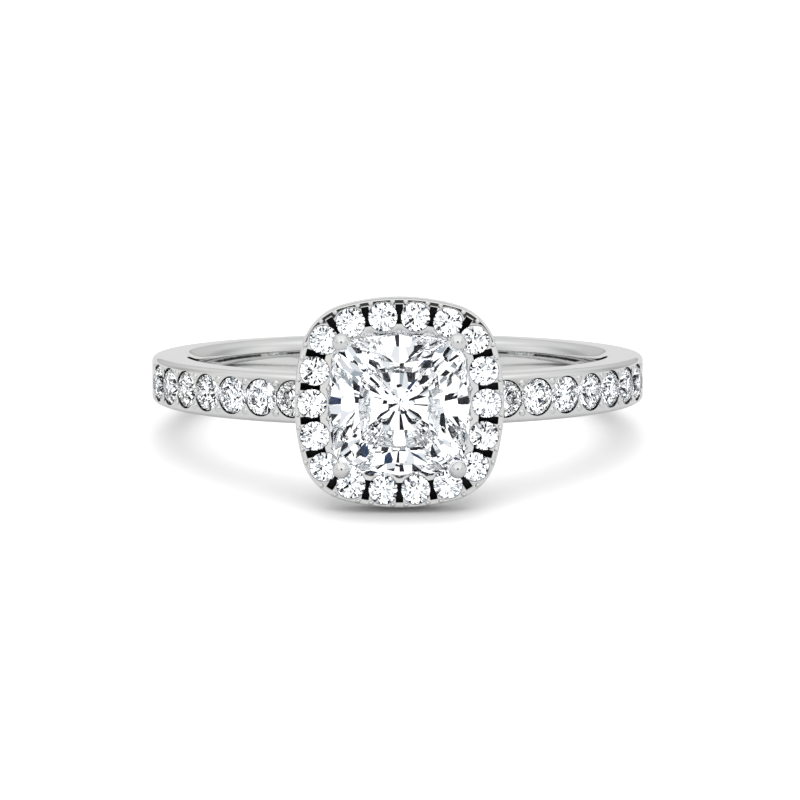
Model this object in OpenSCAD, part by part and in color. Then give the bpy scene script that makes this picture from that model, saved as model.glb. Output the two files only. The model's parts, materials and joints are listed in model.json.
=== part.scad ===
// Halo ring: a cushion-cut centre stone in four prongs, a cushion halo of round stones around
// it and a row of round stones along each shoulder of the band.
//
// The ring is worked out upright: the finger hole's axis is Z, the head points along -Y and the
// face of the head lies in X and Z. The whole ring is then laid down, tipped about the hole's
// centre until the halo's lower edge and the back of the band stand on one level.

/* [Band] */
// Inside diameter of the finger hole
hole_d = 16.5; // [14:0.1:19]
// Thickness of the band's wall at its sides
band_wall = 1.75; // [1.6:0.05:2.5]
// How far the band's outside circle is shifted toward the head
band_shift = 0.25; // [0:0.05:0.4]
// Width of the band at the head
band_w_head = 2; // [1.9:0.05:2.6]
// Width of the band at the back
band_w_back = 1.7; // [1.4:0.05:2]
// Radius of the band's outer edges
band_edge_r = 0.25; // [0.1:0.05:0.3]
// Straight part of the finger hole between its rounded edges
bore_straight = 0.9; // [0.6:0.05:1.2]
// Radius of the finger hole's rounded edges
comfort_r = 0.6; // [0.5:0.05:0.7]

/* [Centre stone] */
// Width of the centre stone across its flats
centre_w = 5.57; // [5:0.01:6.3]
// Radius of the centre stone's bulging sides
centre_side_r = 8; // [5:0.5:20]
// Radius of the centre stone's corners
centre_corner_r = 1.15; // [0.9:0.05:1.5]
// Height of the crown above the girdle
centre_crown = 0.75; // [0.6:0.05:0.9]
// Thickness of the girdle
centre_girdle = 0.12; // [0.08:0.02:0.2]
// Depth of the pavilion below the girdle
centre_pavilion = 2.7; // [2.4:0.05:2.8]
// Height of the girdle above the top of the halo frame
centre_rise = 0.65; // [0.55:0.05:0.9]

/* [Prongs] */
// How far each prong tip stands in from the centre stone's side edges
prong_in_x = 0.505; // [0.4:0.005:0.6]
// How far each prong tip stands in from the centre stone's upper and lower edges
prong_in_y = 0.285; // [0.2:0.005:0.4]
// Diameter of the round prong tips
prong_tip_d = 0.74; // [0.6:0.02:0.9]
// Diameter of the prong wires
prong_wire_d = 0.54; // [0.4:0.02:0.56]
// How far each wire leans outward for each millimetre it rises
prong_lean = 0.21; // [0.15:0.01:0.24]
// Height of the tips' middles above the girdle's middle
prong_tip_rise = 0.3; // [0.2:0.05:0.4]
// Diameter of the gallery wires that tie the prongs together
gallery_d = 0.5; // [0.4:0.02:0.6]

/* [Halo] */
// Number of stones in the halo
halo_stones = 18; // [17:1:20]
// Distance from the centre stone's edge to the middles of the halo stones
halo_margin = 0.655; // [0.64:0.005:0.8]
// Radius of the halo's bulging sides, along the middles of its stones
halo_side_r = 7.5; // [5:0.5:20]
// Radius of the halo's corners, along the middles of its stones
halo_corner_r = 1.55; // [1.4:0.05:1.9]
// Gap between neighbouring halo stones
halo_stone_gap = 0.137; // [0.1:0.005:0.2]
// Thickness of the halo frame
halo_h = 1.25; // [1.1:0.05:1.6]
// How far the frame's underside sits below the top of the band
halo_sink = 0.45; // [0.4:0.05:0.7]
// Wall left outside the halo stones' seats
halo_rim = 0.085; // [0.06:0.005:0.2]
// Wall left inside the halo stones' seats
halo_inner_wall = 0.28; // [0.2:0.01:0.3]
// Depth of the saw cuts between neighbouring halo stones
halo_cut_h = 0.55; // [0.4:0.05:0.8]
// Width of those cuts
halo_cut_w = 0.3; // [0.2:0.02:0.36]

/* [Shoulders] */
// Number of stones in each shoulder
shoulder_stones = 7; // [3:1:8]
// Diameter of the shoulder stones
shoulder_stone_d = 1.42; // [1.2:0.01:1.45]
// Gap between neighbouring shoulder stones
shoulder_stone_gap = 0.035; // [0.03:0.005:0.2]
// How far the first shoulder stone reaches under the halo
shoulder_tuck = 0.65; // [0.3:0.05:0.7]
// Depth of the shoulder stones' girdle below the band's surface
shoulder_sink = 0.1; // [0.05:0.01:0.2]
// Width of the bright-cut groove that joins the shoulder seats
groove_w = 0.6; // [0.3:0.05:0.7]
// Depth of that groove
groove_h = 0.28; // [0.15:0.01:0.4]

/* [Setting] */
// Clear gap between a stone and the metal round it
stone_gap = 0.03; // [0.02:0.005:0.035]
// Diameter of the beads on the halo's outer side
outer_bead_d = 0.2; // [0.14:0.01:0.2]
// Distance between the two outer beads beside each cut
outer_bead_pair = 0.48; // [0.44:0.01:0.52]
// Diameter of the beads on the halo's inner side
inner_bead_d = 0.22; // [0.16:0.02:0.26]
// Diameter of the beads along the shoulders
shoulder_bead_d = 0.34; // [0.24:0.02:0.36]

/* [Hidden] */

metal_colour = "gainsboro";
stone_colour = "aliceblue";
round_fn = 96;
small_fn = 32;
// Turn between neighbouring points of a cushion outline
outline_angle = 3;
// Number of flats round the centre stone's girdle
girdle_flats = 64;
// Turn between neighbouring points of the band's rounded edges
edge_angle = 12;
// Turn at which the rounding stops
edge_end_angle = 60;
// Length that carries a cut clear of what it cuts
through = 5;

hole_r = hole_d / 2;
band_r = hole_r + band_wall;
band_top = band_r + band_shift;

// Cuts of a round brilliant, as shares of its diameter
crown_share = 0.15;
girdle_share = 0.025;
pavilion_share = 0.43;
// Radii of a round brilliant's corners, as shares of its radius
brilliant_table_share = 0.56;
star_share = 0.76;
lower_share = 0.25;

// Share of the centre stone's size left at its table
table_share = 0.6;
// Size of the star facets' upper edge and of their slope line's lower point, with its height
star_top_share = 0.575;
star_low_share = 0.775;
star_height_share = 0.73;
// Size and height of the point that sets the upper girdle facets' slope
upper_low_share = 0.85;
upper_height_share = 0.46;
// Pavilion tiers: the depth share and size share where each tier starts, from girdle to culet
pavilion_tiers = [[0, 1], [0.2, 0.85], [0.42, 0.64], [0.68, 0.36], [1, 0]];
// Directions of each tier's facets, measured from the middle of a side
tier_angles = [[8, 23, 39], [5, 19, 36], [9, 24, 40], [4, 16, 33]];
tier_count = len(tier_angles);
// Depth share at which the culet is cut off
culet_share = 0.985;
// Directions of the crown's upper girdle facets and of its star facets, measured the same way
upper_angles = [8, 31];
star_angle = 5.7;
flanks = [0:90:270];

halo_bottom = band_top - halo_sink;
halo_top = halo_bottom + halo_h;
centre_half = centre_w / 2;
centre_z = halo_top + centre_rise;
girdle_half = centre_girdle / 2;
centre_reach = cushion_reach(45, centre_half, centre_side_r, centre_corner_r);

halo_half = centre_half + halo_margin;
halo_quarter = cushion_quarter(halo_half, halo_side_r, halo_corner_r);
halo_pitch = 4 * halo_quarter / halo_stones;
halo_stone_d = halo_pitch - halo_stone_gap;
halo_seat_r = halo_stone_d / 2 + stone_gap;
halo_out = halo_seat_r + halo_rim;
halo_in = halo_seat_r + halo_inner_wall;
halo_edge = halo_half + halo_out;
// Reach of the saw cuts outward and inward from the line through the stones
cut_out_share = 0.8;
cut_out = cut_out_share * halo_seat_r;
cut_in_share = 0.5;
cut_in = cut_in_share * halo_seat_r;
// Distance of the beads from the line through the stones
outer_bead_share = 0.96;
outer_bead_line = outer_bead_share * halo_seat_r;
inner_bead_share = 1.06;
inner_bead_line = inner_bead_share * halo_seat_r;
// Shift of each outer bead along that line, counted in stones
outer_bead_shift = outer_bead_pair / 2 / halo_pitch;
halo_stone_z = halo_top - girdle_share * halo_stone_d;
// Size of the holes under the halo stones, as a share of the stones' size
hollow_share = 0.47;

shoulder_r = band_r - shoulder_sink;
shoulder_pitch = 2 * asin((shoulder_stone_d + shoulder_stone_gap) / 2 / shoulder_r);
shoulder_start = asin((halo_edge + shoulder_stone_d / 2 - shoulder_tuck) / shoulder_r);
shoulder_seat_r = shoulder_stone_d / 2 + stone_gap;
// Distance of the shoulder beads from the row's middle line
shoulder_bead_share = 0.79;
shoulder_bead_line = shoulder_bead_share * shoulder_seat_r;
// Share of a shoulder bead that its middle lies below the band's surface
shoulder_bead_sink = 0.28;

prong_x = centre_half - prong_in_x;
prong_y = centre_half - prong_in_y;
tip_z = centre_z + prong_tip_rise;
// Share of a gallery wire that its middle lies below the halo frame
gallery_sink = 0.1;
gallery_z = halo_bottom - gallery_sink * gallery_d;
wire_foot_z = gallery_z - gallery_d / 2;
wire_turn = prong_y / prong_x;

// Tip that rests the halo's lower edge and the rounded back edge of the band on one level
back_y = band_r - band_shift - band_edge_r;
back_z = band_w_back / 2 - band_edge_r;
rest_span = [back_y + halo_bottom, halo_edge - back_z];
rest_tilt = atan2(rest_span[1], rest_span[0]) - asin(band_edge_r / norm(rest_span));

function stone_name(row, i) = str(row, i < 10 ? "0" : "", i);

// Cushion outline: four bulging sides of one radius, tangent to four corners of another
function cushion_side_y(half, side_r) = half - side_r;
function cushion_corner(half, side_r, corner_r) =
    let (h = cushion_side_y(half, side_r))
    (h + sqrt(2 * pow(side_r - corner_r, 2) - h * h)) / 2;
// Direction in which a side hands over to a corner
function cushion_split(half, side_r, corner_r) =
    let (c = cushion_corner(half, side_r, corner_r))
    atan2(c, c - cushion_side_y(half, side_r));
// Point whose outward direction is the given one
function cushion_point(turn, half, side_r, corner_r) =
    let (
        q = 90 * round(turn / 90),
        b = turn - q,
        c = cushion_corner(half, side_r, corner_r),
        on_side = abs(b) <= cushion_split(half, side_r, corner_r),
        x = on_side ? cushion_side_y(half, side_r) + side_r * cos(b) : c + corner_r * cos(b),
        y = on_side ? side_r * sin(b) : sign(b) * c + corner_r * sin(b)
    )
    [x * cos(q) - y * sin(q), x * sin(q) + y * cos(q)];
// Distance from the middle to the tangent line in the given direction
function cushion_reach(turn, half, side_r, corner_r) =
    cushion_point(turn, half, side_r, corner_r) * [cos(turn), sin(turn)];
function cushion_side_length(half, side_r, corner_r) =
    side_r * cushion_split(half, side_r, corner_r) * PI / 180;
function cushion_quarter(half, side_r, corner_r) =
    2 * cushion_side_length(half, side_r, corner_r)
    + corner_r * (90 - 2 * cushion_split(half, side_r, corner_r)) * PI / 180;
// Outward direction after a given length along the outline, from the middle of a side
function cushion_turn(length, half, side_r, corner_r) =
    let (
        quarter = cushion_quarter(half, side_r, corner_r),
        q = floor(length / quarter),
        s = length - q * quarter,
        side = cushion_side_length(half, side_r, corner_r),
        split = cushion_split(half, side_r, corner_r),
        part = s < side ? s / side_r * 180 / PI
            : s < quarter - side ? split + (s - side) / corner_r * 180 / PI
            : 90 - (quarter - s) / side_r * 180 / PI
    )
    90 * q + part;

// Outline that runs parallel to the line through the halo stones
module halo_line(out) {
    polygon([for (a = [outline_angle:outline_angle:360])
        cushion_point(a, halo_half + out, halo_side_r + out, halo_corner_r + out)
    ]);
}

// Place on the line through the halo stones, counted in stones from the top's middle
function halo_direction(i) =
    90 - cushion_turn(i * halo_pitch, halo_half, halo_side_r, halo_corner_r);
function halo_place(i, out) =
    let (a = halo_direction(i))
    cushion_point(a, halo_half, halo_side_r, halo_corner_r) + out * [cos(a), sin(a)];

// Stands on the line through the halo stones, with X outward
module on_halo(i, z) {
    place = halo_place(i, 0);
    translate([place[0], place[1], z])
        rotate([0, 0, halo_direction(i)])
            children();
}

// Round stick between two points
module rod(from, to, d) {
    run = to - from;
    translate(from)
        rotate([0, acos(run[2] / norm(run)), atan2(run[1], run[0])])
            cylinder(h = norm(run), d = d, $fn = small_fn);
}

// Turns the head's own frame, with its face up, to the front of the ring
module on_head(z) {
    rotate([90, 0, 0])
        translate([0, 0, z])
            children();
}

// Stands on the band's surface at a turn from the head, on the right where it is above zero
module on_shoulder(turn, r) {
    translate([0, -band_shift, 0])
        rotate([90, 0, turn])
            translate([0, 0, r])
                children();
}

// Lays the ring on its side
module laid_down() {
    rotate([-rest_tilt, 0, 0])
        children();
}

// Round brilliant with its girdle at height 0: table, 8 stars, 8 kites and 16 upper girdle
// facets over 16 lower girdle facets and 8 pavilion mains
module brilliant(d) {
    r = d / 2;
    g = girdle_share * d / 2;
    crown = crown_share * d;
    pavilion = pavilion_share * d;
    half_turn = cos(22.5);
    star_h = crown * (1 - star_share * half_turn) / (1 - brilliant_table_share);
    lower_h = pavilion * (1 - lower_share * half_turn);
    points = concat(
        [for (k = [0:7]) polar(brilliant_table_share * r, 45 * k, g + crown)],
        [for (k = [0:7]) polar(star_share * r, 45 * k + 22.5, g + star_h)],
        [for (k = [0:15]) polar(r, 22.5 * k, g)],
        [for (k = [0:15]) polar(r, 22.5 * k, -g)],
        [for (k = [0:7]) polar(lower_share * r, 45 * k + 22.5, -g - lower_h)],
        [[0, 0, -g - pavilion]]
    );
    star = 8;
    top = 16;
    bottom = 32;
    lower = 48;
    culet = 56;
    faces = concat(
        [[for (k = [7:-1:0]) k]],
        [for (k = [0:7]) [k, (k + 1) % 8, star + k]],
        [for (k = [0:7]) [k, star + k, top + 2 * k, star + (k + 7) % 8]],
        [for (k = [0:7]) [star + k, top + 2 * k + 1, top + 2 * k]],
        [for (k = [0:7]) [star + k, top + (2 * k + 2) % 16, top + 2 * k + 1]],
        [for (k = [0:15]) [top + k, top + (k + 1) % 16, bottom + (k + 1) % 16, bottom + k]],
        [for (k = [0:7]) [lower + k, bottom + 2 * k, bottom + 2 * k + 1]],
        [for (k = [0:7]) [lower + k, bottom + 2 * k + 1, bottom + (2 * k + 2) % 16]],
        [for (k = [0:7]) [culet, lower + (k + 7) % 8, bottom + 2 * k, lower + k]]
    );
    color(stone_colour)
        polyhedron(points, faces);
}

function polar(r, turn, z) = [r * cos(turn), r * sin(turn), z];

// Seat of a round brilliant: straight above the girdle, a cone below it down to its foot, and
// a straight hole on from there where the foot is open
module brilliant_seat(d, foot_r, foot_h) {
    r = d / 2 + stone_gap;
    ledge = girdle_share * d / 2 + stone_gap;
    cone_h = (r - foot_r) * 2 * pavilion_share;
    translate([0, 0, -ledge])
        cylinder(h = d, r = r, $fn = round_fn);
    translate([0, 0, -ledge - cone_h])
        cylinder(h = cone_h, r1 = foot_r, r2 = r, $fn = round_fn);
    if (foot_h > 0)
        translate([0, 0, -ledge - cone_h - foot_h])
            cylinder(h = foot_h + cone_h / 2, r = foot_r, $fn = small_fn);
}

// One facet: its direction and the two points that its plane runs through there, each a share
// of the outline's reach in that direction and a height
function facet_pair(flank, turns, point_1, point_2) =
    [for (turn = turns, side = [-1, 1]) [flank + side * turn, point_1, point_2]];
function tier_z(i) = -girdle_half - pavilion_tiers[i][0] * centre_pavilion;
function tier_point(i) = [pavilion_tiers[i][1], tier_z(i)];
function crown_point(share, height) = [share, girdle_half + height * centre_crown];
facets = concat(
    [for (i = [tier_count - 1:-1:0], flank = flanks)
        each facet_pair(flank, tier_angles[i], tier_point(i), tier_point(i + 1))],
    [for (turn = [0:45:315]) [turn, crown_point(1, 0), crown_point(table_share, 1)]],
    [for (flank = flanks) each facet_pair(
        flank, [star_angle],
        crown_point(star_low_share, star_height_share), crown_point(star_top_share, 1)
    )],
    [for (flank = flanks) each facet_pair(
        flank, upper_angles,
        crown_point(1, 0), crown_point(upper_low_share, upper_height_share)
    )]
);

// All that lies inside one facet's plane
module inside_facet(turn, point_1, point_2) {
    reach = cushion_reach(turn, centre_half, centre_side_r, centre_corner_r);
    run = [(point_2[0] - point_1[0]) * reach, point_2[1] - point_1[1]];
    // Lean of the outward side from straight up, which is over 90 on the pavilion
    lean = run[1] > 0 ? atan2(run[1], -run[0]) : atan2(-run[1], run[0]);
    rotate([0, 0, turn])
        translate([point_1[0] * reach, 0, point_1[1]])
            rotate([0, lean, 0])
                translate([-centre_w, -centre_w, -2 * centre_w])
                    cube(2 * centre_w);
}

// Grinds the first few facets of the list, one after the other, into the preform
module ground(count) {
    if (count == 0)
        preform();
    else
        intersection() {
            ground(count - 1);
            inside_facet(facets[count - 1][0], facets[count - 1][1], facets[count - 1][2]);
        }
}

// Cushion block from the culet's flat to the table, with the girdle's flats as its sides
module preform() {
    foot = girdle_half + culet_share * centre_pavilion;
    translate([0, 0, -foot])
        linear_extrude(foot + girdle_half + centre_crown)
            polygon([for (i = [0.5:girdle_flats])
                cushion_point(i * 360 / girdle_flats, centre_half, centre_side_r, centre_corner_r)
            ]);
}

// Cushion modified brilliant with its girdle at height 0
module cushion_brilliant() {
    color(stone_colour)
        ground(len(facets));
}

// Band: a round hoop, thinner and narrower at the back, with a rounded finger hole
module shank() {
    difference() {
        intersection() {
            translate([0, -band_shift, 0])
                rotate_extrude($fn = round_fn)
                    band_profile();
            band_taper();
        }
        finger_hole();
    }
}

// Half of the band's section as a full disc: rounded outer edges that run on, at the angle
// where the rounding stops, past the flat sides that the taper cuts
module band_profile() {
    middle = [band_r - band_edge_r, band_w_head / 2 - band_edge_r];
    arc = [for (a = [0:edge_angle:edge_end_angle]) middle + band_edge_r * [cos(a), sin(a)]];
    run_on = band_edge_r * [-tan(edge_end_angle), 1];
    upper = concat(arc, [arc[len(arc) - 1] + run_on]);
    lower = [for (i = [len(upper) - 1:-1:0]) [upper[i][0], -upper[i][1]]];
    polygon(concat(upper, [[0, upper[len(upper) - 1][1]], [0, lower[0][1]]], lower));
}

// Flat sides that close in from the head to the back
module band_taper() {
    rotate([90, 0, 90])
        linear_extrude(2 * (band_r + through), center = true)
            polygon([
                [-band_top, band_w_head / 2],
                [-band_top, -band_w_head / 2],
                [band_r, -band_w_back / 2],
                [band_r, band_w_back / 2]
            ]);
}

module finger_hole() {
    rotate_extrude($fn = round_fn)
        union() {
            translate([0, -band_w_head])
                square([hole_r, 2 * band_w_head]);
            for (side = [0, 1])
                mirror([0, side])
                    difference() {
                        translate([0, bore_straight / 2])
                            square([hole_r + comfort_r, band_w_head]);
                        translate([hole_r + comfort_r, bore_straight / 2])
                            circle(r = comfort_r, $fn = small_fn);
                    }
        }
}

// Four leaning prong wires with round tips, tied together by four gallery wires
module basket() {
    corners = [[1, 1], [-1, 1], [-1, -1], [1, -1]];
    for (i = [0:3]) {
        rod(wire_point(corners[i], wire_foot_z), wire_point(corners[i], tip_z), prong_wire_d);
        translate(wire_point(corners[i], tip_z))
            sphere(d = prong_tip_d, $fn = small_fn);
        rod(
            wire_point(corners[i], gallery_z),
            wire_point(corners[(i + 1) % 4], gallery_z),
            gallery_d
        );
    }
}

// Point on a prong wire's middle line at a height of the head
function wire_point(corner, z) =
    let (in = (tip_z - z) * prong_lean)
    [corner[0] * (prong_x - in), corner[1] * (prong_y - wire_turn * in), z];

// Space cut for the centre stone, turned like a setting bur to the reach of its corners
module centre_seat() {
    g = girdle_half;
    points = concat(
        [[0, centre_z + tier_z(tier_count) - stone_gap]],
        [for (i = [tier_count - 1:-1:0]) [
            pavilion_tiers[i][1] * centre_reach + stone_gap,
            centre_z + tier_z(i) - stone_gap
        ]],
        [
            [centre_reach + stone_gap, centre_z + g + stone_gap],
            [table_share * centre_reach + stone_gap, centre_z + g + centre_crown + stone_gap],
            [table_share * centre_reach + stone_gap, centre_z + through],
            [0, centre_z + through]
        ]
    );
    rotate_extrude($fn = round_fn)
        polygon(points);
}

// Cushion frame with an open middle, a seat for each stone and a saw cut between neighbours
module halo_frame() {
    difference() {
        translate([0, 0, halo_bottom])
            linear_extrude(halo_h)
                difference() {
                    halo_line(halo_out);
                    halo_line(-halo_in);
                }
        for (i = [0:halo_stones - 1])
            on_halo(i, halo_top - halo_cut_h)
                translate([-cut_in, -halo_cut_w / 2, 0])
                    cube([cut_in + cut_out, halo_cut_w, through]);
        for (i = [0.5:halo_stones])
            on_halo(i, halo_stone_z)
                brilliant_seat(halo_stone_d, hollow_share * halo_stone_d / 2, through);
    }
}

// Two outer beads and an inner one between neighbouring halo stones; an inner bead that would
// stand in a prong's place is left out
module halo_beads() {
    for (i = [0:halo_stones - 1]) {
        for (side = [-1, 1])
            bead(halo_place(i + side * outer_bead_shift, outer_bead_line), halo_top, outer_bead_d);
        inner = halo_place(i, -inner_bead_line);
        if (norm([abs(inner[0]) - prong_x, abs(inner[1]) - prong_y]) > prong_tip_d)
            bead(inner, halo_top, inner_bead_d);
    }
}

module bead(place, z, d) {
    translate([place[0], place[1], z])
        sphere(d = d, $fn = small_fn);
}

// Seats and the groove that joins them, along one shoulder; the groove ends inside the first and
// the last seat, clear of their middles
module shoulder_seats(side) {
    from = shoulder_start - shoulder_pitch / 4;
    reach = (shoulder_stones - 1) * shoulder_pitch + shoulder_pitch / 2;
    for (i = [0:shoulder_stones - 1])
        on_shoulder(side * (shoulder_start + i * shoulder_pitch), shoulder_r)
            brilliant_seat(shoulder_stone_d, stone_gap, 0);
    translate([0, -band_shift, 0])
        rotate([0, 0, side > 0 ? from - 90 : -90 - from - reach])
            rotate_extrude(angle = reach, $fn = round_fn)
                translate([band_r - groove_h, -groove_w / 2])
                    square([through, groove_w]);
}

// Pairs of beads before, between and after the stones of one shoulder
module shoulder_beads(side) {
    for (i = [0:shoulder_stones], row = [-1, 1])
        on_shoulder(side * (shoulder_start + (i - 0.5) * shoulder_pitch), band_r)
            bead([0, row * shoulder_bead_line], -shoulder_bead_sink * shoulder_bead_d, shoulder_bead_d);
}

// All the metal, soldered into one piece
module mounting() {
    color(metal_colour)
        laid_down() {
            difference() {
                shank();
                on_head(0)
                    centre_seat();
                shoulder_seats(1);
                shoulder_seats(-1);
            }
            shoulder_beads(1);
            shoulder_beads(-1);
            on_head(0) {
                difference() {
                    basket();
                    centre_seat();
                }
                halo_frame();
                halo_beads();
            }
        }
}

module centre_stone() {
    laid_down()
        on_head(centre_z)
            cushion_brilliant();
}

module halo_stone(i) {
    laid_down()
        on_head(0)
            on_halo(i - 0.5, halo_stone_z)
                brilliant(halo_stone_d);
}

module shoulder_stone(side, i) {
    laid_down()
        on_shoulder(side * (shoulder_start + (i - 1) * shoulder_pitch), shoulder_r)
            brilliant(shoulder_stone_d);
}

mounting();
centre_stone();
for (i = [1:halo_stones])
    halo_stone(i);
for (i = [1:shoulder_stones])
    shoulder_stone(-1, i);
for (i = [1:shoulder_stones])
    shoulder_stone(1, i);
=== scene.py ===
import json
import math

import bmesh
import bpy
from mathutils import Matrix, Vector


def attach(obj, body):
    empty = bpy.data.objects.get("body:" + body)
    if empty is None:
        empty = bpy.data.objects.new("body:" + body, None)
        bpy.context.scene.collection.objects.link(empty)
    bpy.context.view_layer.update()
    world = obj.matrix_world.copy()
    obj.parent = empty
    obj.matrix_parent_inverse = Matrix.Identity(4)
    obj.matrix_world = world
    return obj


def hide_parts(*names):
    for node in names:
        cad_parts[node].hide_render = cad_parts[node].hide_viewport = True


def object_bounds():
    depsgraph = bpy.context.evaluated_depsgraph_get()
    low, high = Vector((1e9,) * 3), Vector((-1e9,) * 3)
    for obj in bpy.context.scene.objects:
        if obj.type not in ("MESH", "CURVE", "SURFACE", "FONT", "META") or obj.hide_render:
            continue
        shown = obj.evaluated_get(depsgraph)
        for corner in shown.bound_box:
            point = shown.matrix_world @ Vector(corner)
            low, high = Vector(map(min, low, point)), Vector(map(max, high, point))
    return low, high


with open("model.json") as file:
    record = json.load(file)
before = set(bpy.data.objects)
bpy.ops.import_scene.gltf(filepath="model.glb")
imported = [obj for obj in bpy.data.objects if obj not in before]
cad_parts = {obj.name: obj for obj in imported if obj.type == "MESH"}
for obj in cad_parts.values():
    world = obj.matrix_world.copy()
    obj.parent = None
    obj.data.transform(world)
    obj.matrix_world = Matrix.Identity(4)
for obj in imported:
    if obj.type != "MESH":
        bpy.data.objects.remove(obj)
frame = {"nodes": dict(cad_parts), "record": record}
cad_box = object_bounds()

# Shank: the hoop of the ring, cast in white gold. It is thinner and narrower at the back, its
# outside circle sits a little toward the head, and its finger hole is rounded for comfort. The
# stones' seats are drilled into its shoulders with a setting bur.
MM = 0.001
finger_hole = frame["record"]["mounts"][0]
hole_r = finger_hole["dims"]["r_mm"]
rest_tilt = math.atan2(finger_hole["axis"][1], finger_hole["axis"][2])
# The ring is made upright, with the finger hole's axis along Z and the head toward -Y, in mm
LAID_DOWN = Matrix.Rotation(-rest_tilt, 4, "X") @ Matrix.Scale(MM, 4)

WHITE_GOLD = (0.9, 0.9, 0.89)
OLDER_GOLD = (0.84, 0.845, 0.85)
CUT_GOLD = (0.8, 0.8, 0.8)
# Painted shade under the seats' rims: a near-black that stands in for the shade there
PAINTED_RIM_SHADE = (0.04, 0.04, 0.043)
# Painted shade in the halo's saw cuts: near-black colours, drifting at random, that stand in for the
# shade deep in them
RECESS_PAINTED_SHADE = (0.012, 0.012, 0.014)
RECESS_SHADE_DRIFT = (0.04, 0.04, 0.042)

band_wall = 1.75
band_r = hole_r + band_wall
band_shift = 0.25
band_top = band_r + band_shift
head_w = 2.0
back_w = 1.7
band_edge_r = 0.25
comfort_r = 0.56
stone_gap = 0.03
# Edges that turn more than this stay crisp when the ring is polished
crisp_angle = math.radians(35)

SOCKETS = {
    int: "NodeSocketInt",
    float: "NodeSocketFloat",
    bpy.types.Object: "NodeSocketObject",
    bpy.types.Material: "NodeSocketMaterial",
}


def new_tree(name, sizes):
    """Geometry Nodes tree with one named input for each of its sizes, in mm."""
    tree = bpy.data.node_groups.new(name, "GeometryNodeTree")
    for label, size in sizes.items():
        tree.interface.new_socket(label, in_out="INPUT", socket_type=SOCKETS[type(size)])
    tree.interface.new_socket("Geometry", in_out="OUTPUT", socket_type="NodeSocketGeometry")
    return tree, put(tree, "NodeGroupInput").outputs


def put(tree, kind, links=None, **settings):
    """Adds a node, with its settings, and joins or sets its inputs."""
    node = tree.nodes.new(kind)
    for setting, choice in settings.items():
        setattr(node, setting, choice)
    for socket, value in (links or {}).items():
        if isinstance(value, bpy.types.NodeSocket):
            tree.links.new(value, node.inputs[socket])
        else:
            node.inputs[socket].default_value = value
    return node


def work_out(tree, rule, first, second=0.0):
    return put(tree, "ShaderNodeMath", {0: first, 1: second}, operation=rule).outputs[0]


def squared(tree, value):
    return work_out(tree, "MULTIPLY", value, value)


def compared(tree, rule, first, second):
    return put(tree, "FunctionNodeCompare", {"A": first, "B": second}, operation=rule).outputs[0]


def vectors(tree, rule, first, second):
    return put(tree, "ShaderNodeVectorMath", {0: first, 1: second}, operation=rule).outputs[0]


def length(tree, vector):
    return put(tree, "ShaderNodeVectorMath", {0: vector}, operation="LENGTH").outputs["Value"]


def vector_of(tree, x=0.0, y=0.0, z=0.0):
    return put(tree, "ShaderNodeCombineXYZ", {"X": x, "Y": y, "Z": z}).outputs[0]


def shape_of(tree, source):
    """Brings a cutter, a wire or a path into a tree."""
    return put(tree, "GeometryNodeObjectInfo", {0: source}).outputs["Geometry"]


def moved(tree, shape, by):
    return put(tree, "GeometryNodeTransform", {"Geometry": shape, "Translation": by}).outputs[0]


def coloured(tree, solid, metal):
    return put(tree, "GeometryNodeSetMaterial", {0: solid, "Material": metal}).outputs[0]


def cut_with(tree, solid, tools):
    """Cuts a solid with tools; each gives what it cuts its own material, for some a painted shade."""
    cut = put(tree, "GeometryNodeMeshBoolean", {
        "Mesh 1": solid
    }, operation="DIFFERENCE", solver="MANIFOLD")
    for tool, finish in tools:
        tree.links.new(coloured(tree, tool, finish), cut.inputs["Mesh 2"])
    return cut.outputs[0]


def bar_section(tree, width, height):
    """Rectangular section, round its own middle."""
    return put(tree, "GeometryNodeCurvePrimitiveQuadrilateral", {
        "Width": width, "Height": height
    }).outputs[0]


def smooth(tree, solid, where, domain):
    links = {0: solid, "Shade Smooth": where}
    return put(tree, "GeometryNodeSetShadeSmooth", links, domain=domain).outputs[0]


def polished(tree, solid):
    """Smooth faces with crisp edges, all real mesh."""
    angle = put(tree, "GeometryNodeInputMeshEdgeAngle").outputs["Unsigned Angle"]
    gentle = compared(tree, "LESS_THAN", angle, crisp_angle)
    faces = smooth(tree, smooth(tree, solid, gentle, "EDGE"), True, "FACE")
    return put(tree, "GeometryNodeRealizeInstances", {0: faces}).outputs[0]


def made(name, tree, sizes, place):
    """Runs a tree and keeps what it makes as a plain mesh where the ring lies."""
    piece = bpy.data.objects.new(name, bpy.data.meshes.new(name))
    bpy.context.scene.collection.objects.link(piece)
    work = piece.modifiers.new(name, "NODES")
    work.node_group = tree
    for socket in tree.interface.items_tree:
        if socket.in_out == "INPUT":
            work[socket.identifier] = sizes[socket.name]
    bpy.context.view_layer.update()
    finished = piece.evaluated_get(bpy.context.evaluated_depsgraph_get())
    solid = bpy.data.meshes.new_from_object(finished)
    piece.modifiers.remove(work)
    piece.data = solid
    solid.transform(place)
    return piece


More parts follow.
